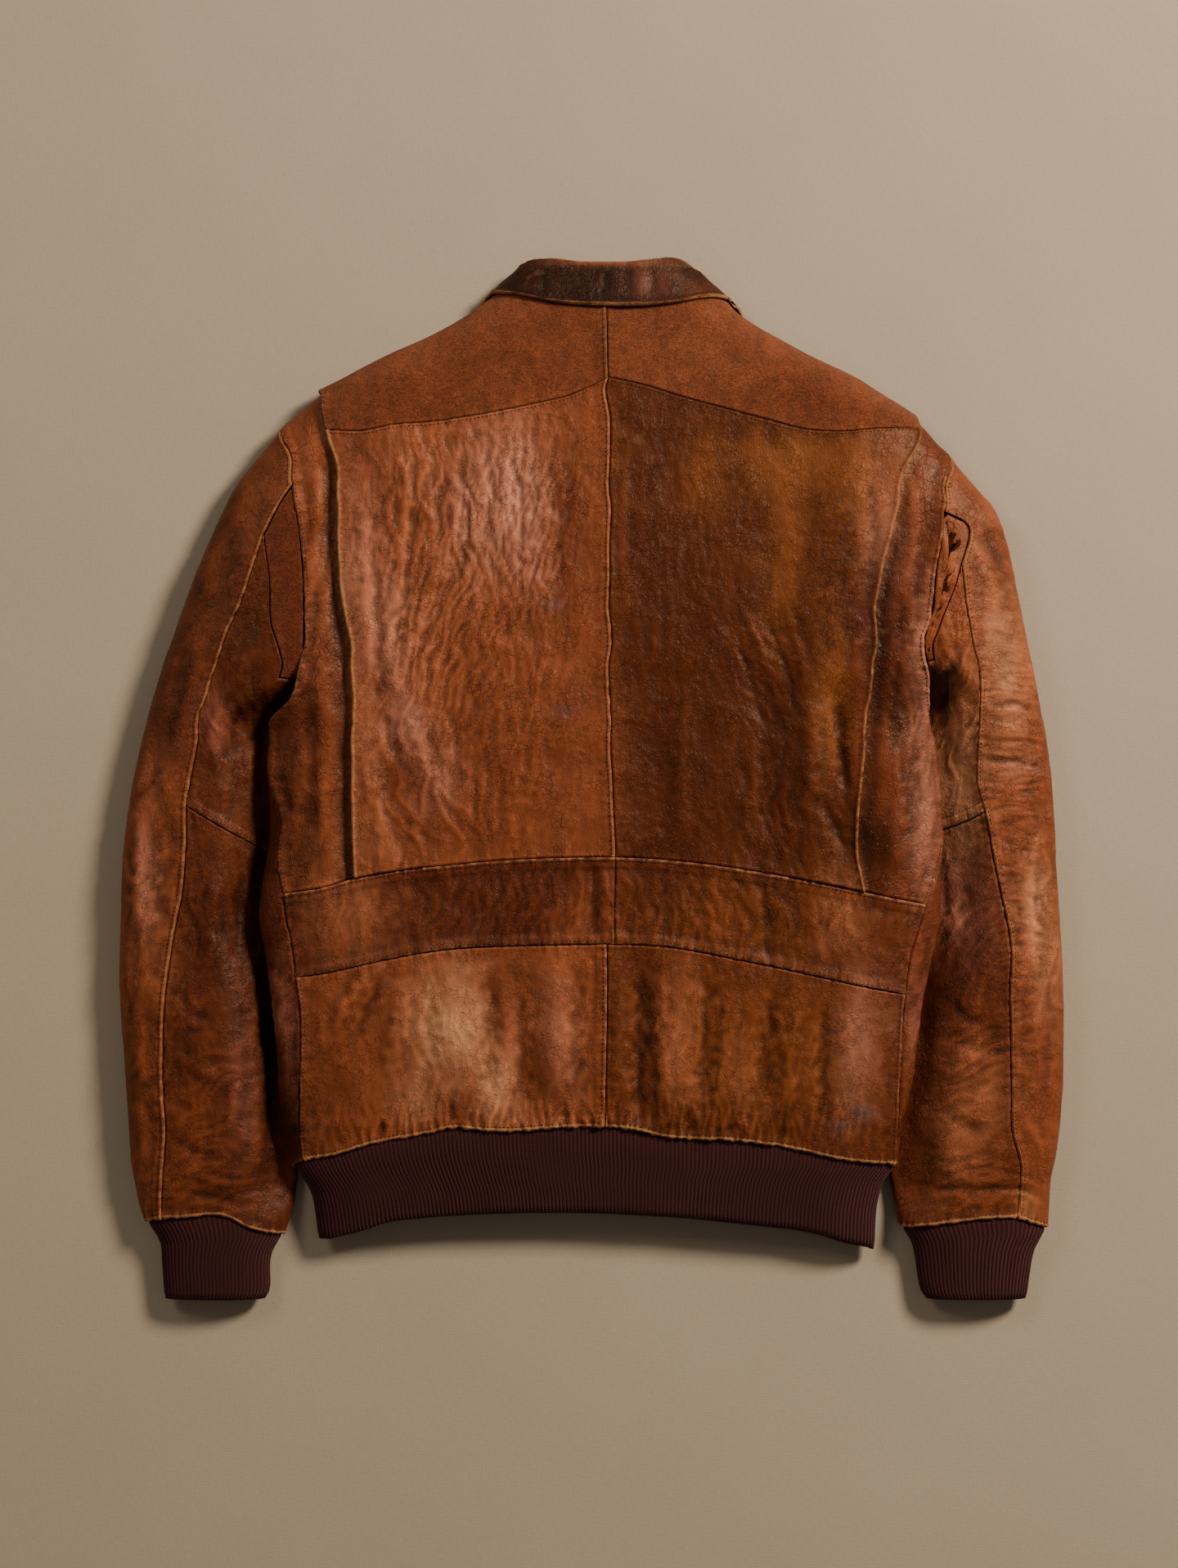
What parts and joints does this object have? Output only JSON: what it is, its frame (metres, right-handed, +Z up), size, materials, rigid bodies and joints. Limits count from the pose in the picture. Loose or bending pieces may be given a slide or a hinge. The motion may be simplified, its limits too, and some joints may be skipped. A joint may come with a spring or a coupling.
{
  "type": "leather flight jacket laid face down",
  "caption": "Worn leather flight jacket laid face down, with a suede yoke, pleated bi-swing back, waist belt, fold-down collar and knit waistband and cuffs.",
  "frame": {"origin": "on the surface it lies on, below the middle of its outline", "axes": "+Z up from the surface, +Y from the hem to the collar, +X to the wearer's right as seen from above, back side up"},
  "size_m": [0.7048, 0.7776, 0.0492],
  "materials": {
    "hide": "worn semi-gloss brown hide with fine grain, creases and pale rubbed edges",
    "dark_hide": "dark purple-brown polished hide of the collar and the under sleeves",
    "suede": "matt napped suede of the yoke and the left gusset",
    "knit": "dark maroon-brown ribbed knit",
    "edge": "rubbed tan rolled edges and frayed hem",
    "thread": "matt dark brown sewing thread"
  },
  "bodies": {
    "root": {"back_left": "hide", "back_right": "hide", "side_back_left": "hide", "side_back_right": "hide", "belt_left": "hide", "belt_right": "hide", "lower_back_left": "hide", "lower_back_right": "hide", "front_left": "hide", "front_right": "hide", "yoke_left": "suede", "yoke_right": "suede", "collar_leaf": "dark_hide", "collar_stand": "dark_hide", "waistband": "knit", "sleeve_outer_left": "hide", "sleeve_under_upper_left": "hide", "sleeve_under_lower_left": "hide", "gusset_left": "suede", "cuff_left": "knit", "sleeve_outer_right": "hide", "sleeve_under_upper_right": "hide", "sleeve_under_lower_right": "dark_hide", "gusset_right": "hide", "cuff_right": "knit"}
  },
  "joints": []
}
